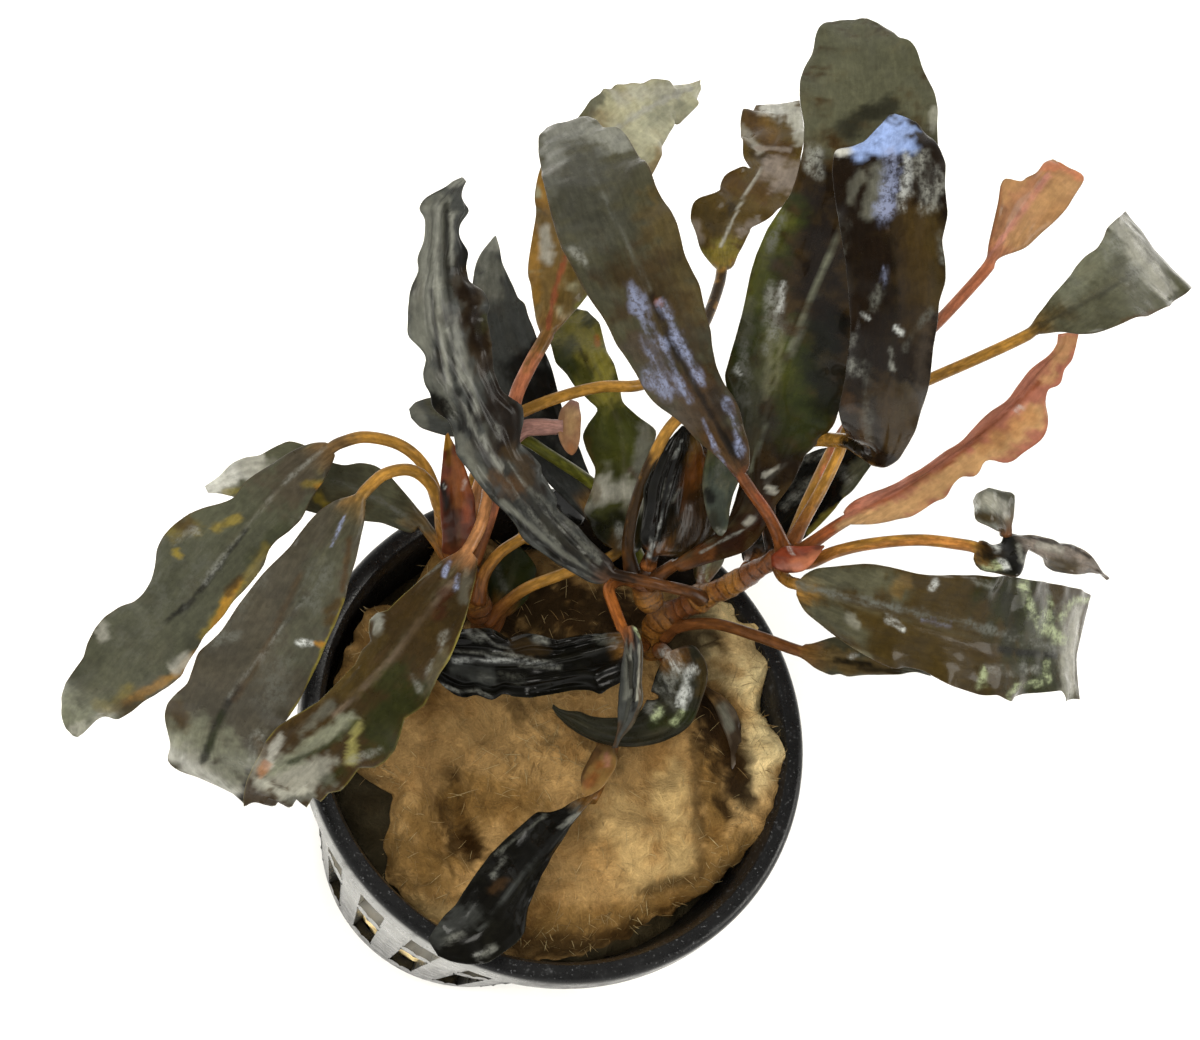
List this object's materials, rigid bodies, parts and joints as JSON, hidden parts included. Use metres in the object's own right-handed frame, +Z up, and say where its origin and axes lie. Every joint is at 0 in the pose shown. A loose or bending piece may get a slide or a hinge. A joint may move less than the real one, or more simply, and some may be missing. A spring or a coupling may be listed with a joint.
{
  "type": "bucephalandra in a net pot",
  "caption": "Small potted aquarium plant: wavy, glossy, leathery leaves on arched stalks from creeping stems rooted in a wool plug, standing in a slotted conical net pot.",
  "frame": {"origin": "centre of the flat underside of the net pot's base", "axes": "+Z up the pot's axis, from the base to the rim; -Y towards the front of the picture's view"},
  "size_m": [0.1046, 0.0944, 0.096],
  "materials": {
    "black_plastic": "moulded black plastic, satin, scuffed",
    "rockwool": "felted brown mineral fibre, rough",
    "rhizome_bark": "red-brown bark, satin",
    "sheath_red": "pink-red papery sheath, satin",
    "sheath_brown": "brown papery sheath, satin",
    "spathe_cream": "cream-beige young spathe, satin",
    "flower_pink": "pink young flower stalk, satin",
    "leaf_grey_olive": "grey-olive leaf, glossy",
    "leaf_dark_olive": "dark olive leaf, glossy",
    "leaf_near_black": "near-black leaf, glossy",
    "leaf_green": "olive-green leaf, glossy",
    "leaf_brown_olive": "brown-olive leaf, glossy",
    "leaf_pale_olive": "pale gold-olive leaf, glossy",
    "leaf_young_orange": "young pink-orange leaf, satin"
  },
  "bodies": {
    "root": {"net_pot": "black_plastic", "rockwool_plug": "rockwool", "rhizome_right": "rhizome_bark", "rhizome_left": "rhizome_bark", "rhizome_front": "rhizome_bark", "rhizome_middle": "rhizome_bark", "flower_stalk": "flower_pink", "leaf_far_left": "leaf_grey_olive", "leaf_left_middle": "leaf_grey_olive", "leaf_left_inner": "leaf_dark_olive", "leaf_left_behind": "leaf_grey_olive", "leaf_long_wavy": "leaf_dark_olive", "leaf_behind_wavy": "leaf_near_black", "leaf_pale_top": "leaf_pale_olive", "leaf_centre": "leaf_grey_olive", "leaf_top_right": "leaf_green", "leaf_top_right_front": "leaf_dark_olive", "leaf_young_upper": "leaf_young_orange", "leaf_grey_right": "leaf_grey_olive", "leaf_young_folded": "leaf_young_orange", "leaf_crumpled_right": "leaf_near_black", "leaf_curled_right": "leaf_near_black", "leaf_big_right": "leaf_dark_olive", "leaf_under_big_right": "leaf_grey_olive", "leaf_top_brown": "leaf_brown_olive", "leaf_green_centre": "leaf_green", "leaf_edge_on": "leaf_near_black", "leaf_black_in_pot": "leaf_near_black", "leaf_hooked_in_pot": "leaf_dark_olive", "leaf_narrow_in_pot": "leaf_near_black", "leaf_over_rim": "leaf_near_black", "leaf_thin_on_wool": "leaf_brown_olive", "leaf_dark_behind_right": "leaf_near_black", "leaf_hanging_centre": "leaf_grey_olive", "leaf_round_behind_left": "leaf_dark_olive", "leaf_green_behind_stalks": "leaf_green", "leaf_hidden_dark": "leaf_near_black", "leaf_striped_small": "leaf_grey_olive", "crown_sheath_left": "sheath_red", "crown_sheath_right": "sheath_red", "sheath_over_rim_leaf": "sheath_brown", "spathe": "spathe_cream"}
  },
  "joints": []
}
